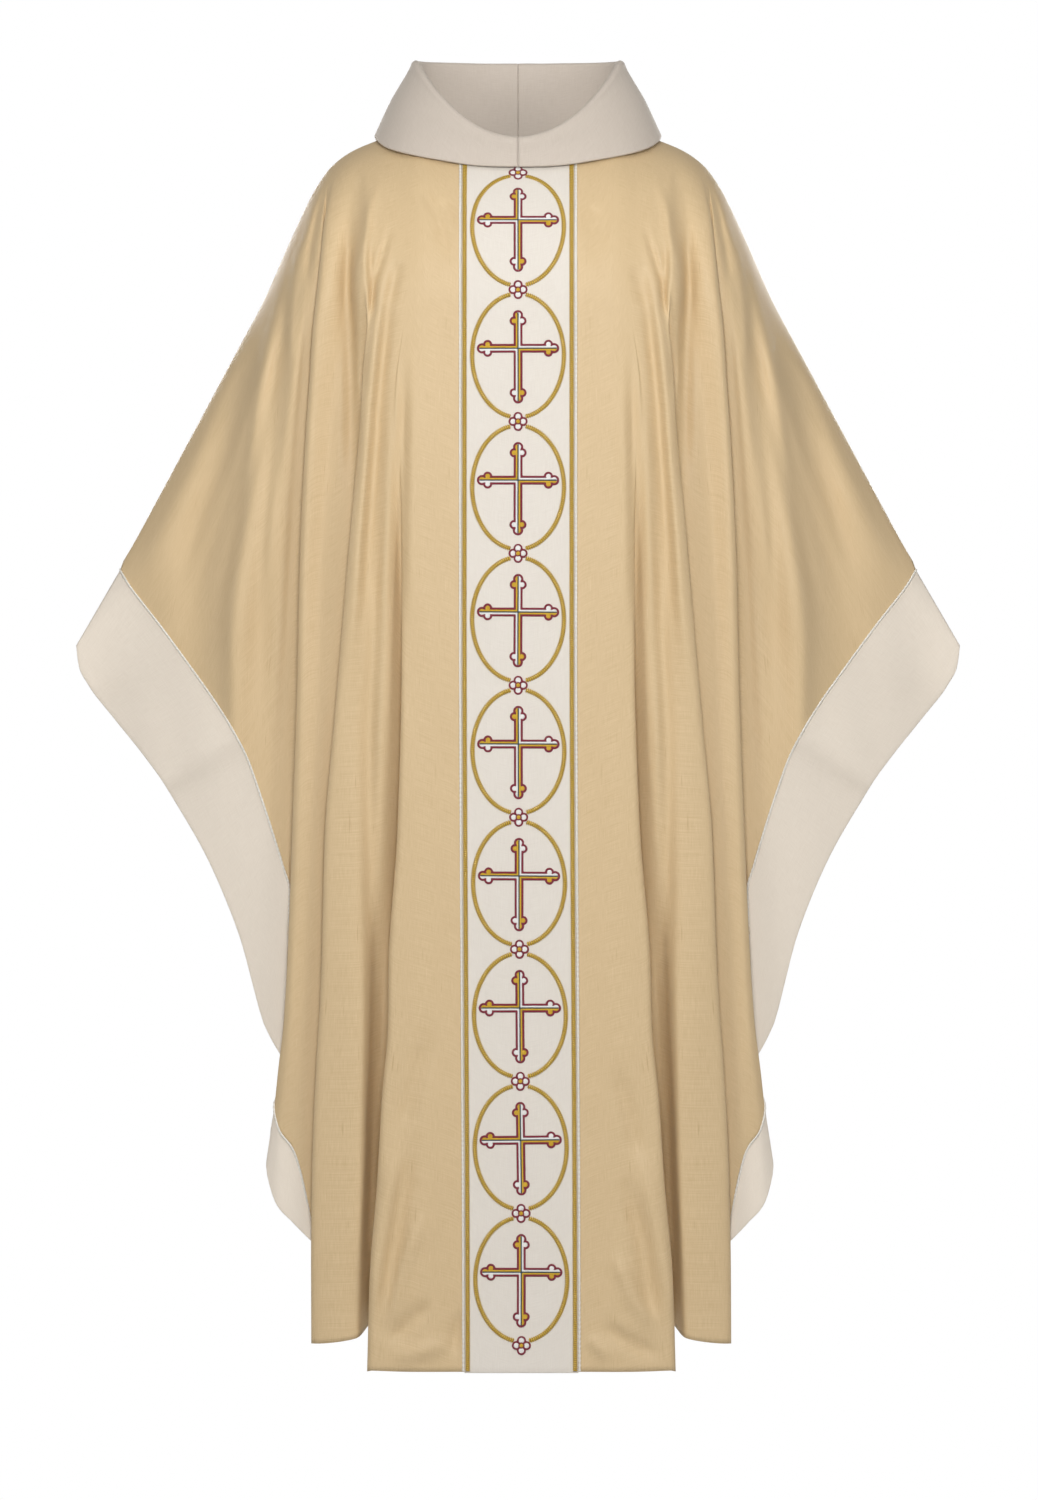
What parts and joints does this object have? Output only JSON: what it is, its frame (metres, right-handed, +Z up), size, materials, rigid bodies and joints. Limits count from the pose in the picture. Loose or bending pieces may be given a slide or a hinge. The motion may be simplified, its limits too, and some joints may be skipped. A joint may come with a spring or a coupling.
{
  "type": "chasuble",
  "caption": "Wide pale gold chasuble with a rolled ivory collar, ivory bands along the sleeve edges and an ivory orphrey of embroidered crosses in gold ovals.",
  "frame": {"origin": "centre of the neck opening, level with the tops of the shoulder seams, where the wearer's neck holds the garment", "axes": "+Z up, the front faces -Y, +X towards the wearer's left sleeve"},
  "size_m": [0.934, 0.3732, 1.357],
  "materials": {
    "gold_silk": "pale gold slubbed silk with a soft sheen",
    "ivory_crepe": "matt ivory wool and silk crepe",
    "ivory_cord": "twisted ivory silk cord",
    "gold_braid": "flat gold braid, couched with gold stitches",
    "gold_thread": "gold metallic embroidery thread, satin stitch",
    "white_thread": "white silk embroidery thread, satin stitch",
    "burgundy_thread": "burgundy silk outline stitch",
    "teal_thread": "dark teal silk stem stitch",
    "collar_cloth": "ivory crepe, cut as a rolled collar",
    "canvas": "unbleached cotton canvas",
    "cotton_tape": "woven cotton stay tape"
  },
  "bodies": {
    "root": {"back_cross_centre_lines": "teal_thread", "back_cross_gold_fills": "gold_thread", "back_cross_outlines": "burgundy_thread", "back_cross_white_fills": "white_thread", "back_left_band_piping": "ivory_cord", "back_left_orphrey_braid": "gold_braid", "back_left_orphrey_cord": "ivory_cord", "back_left_panel": "gold_silk", "back_left_sleeve_band": "ivory_crepe", "back_medallion_rings": "gold_thread", "back_orphrey": "ivory_crepe", "back_orphrey_backing": "canvas", "back_right_band_piping": "ivory_cord", "back_right_orphrey_braid": "gold_braid", "back_right_orphrey_cord": "ivory_cord", "back_right_panel": "gold_silk", "back_right_sleeve_band": "ivory_crepe", "back_rosette_centres": "gold_thread", "back_rosette_outlines": "burgundy_thread", "back_rosette_petals": "white_thread", "collar_left_interlining": "canvas", "collar_left_show": "collar_cloth", "collar_left_under": "collar_cloth", "collar_right_interlining": "canvas", "collar_right_show": "collar_cloth", "collar_right_under": "collar_cloth", "front_cross_centre_lines": "teal_thread", "front_cross_gold_fills": "gold_thread", "front_cross_outlines": "burgundy_thread", "front_cross_white_fills": "white_thread", "front_left_band_piping": "ivory_cord", "front_left_orphrey_braid": "gold_braid", "front_left_orphrey_cord": "ivory_cord", "front_left_panel": "gold_silk", "front_left_sleeve_band": "ivory_crepe", "front_medallion_rings": "gold_thread", "front_orphrey": "ivory_crepe", "front_orphrey_backing": "canvas", "front_right_band_piping": "ivory_cord", "front_right_orphrey_braid": "gold_braid", "front_right_orphrey_cord": "ivory_cord", "front_right_panel": "gold_silk", "front_right_sleeve_band": "ivory_crepe", "front_rosette_centres": "gold_thread", "front_rosette_outlines": "burgundy_thread", "front_rosette_petals": "white_thread", "left_shoulder_tape": "cotton_tape", "neck_tape": "cotton_tape", "right_shoulder_tape": "cotton_tape"}
  },
  "joints": []
}
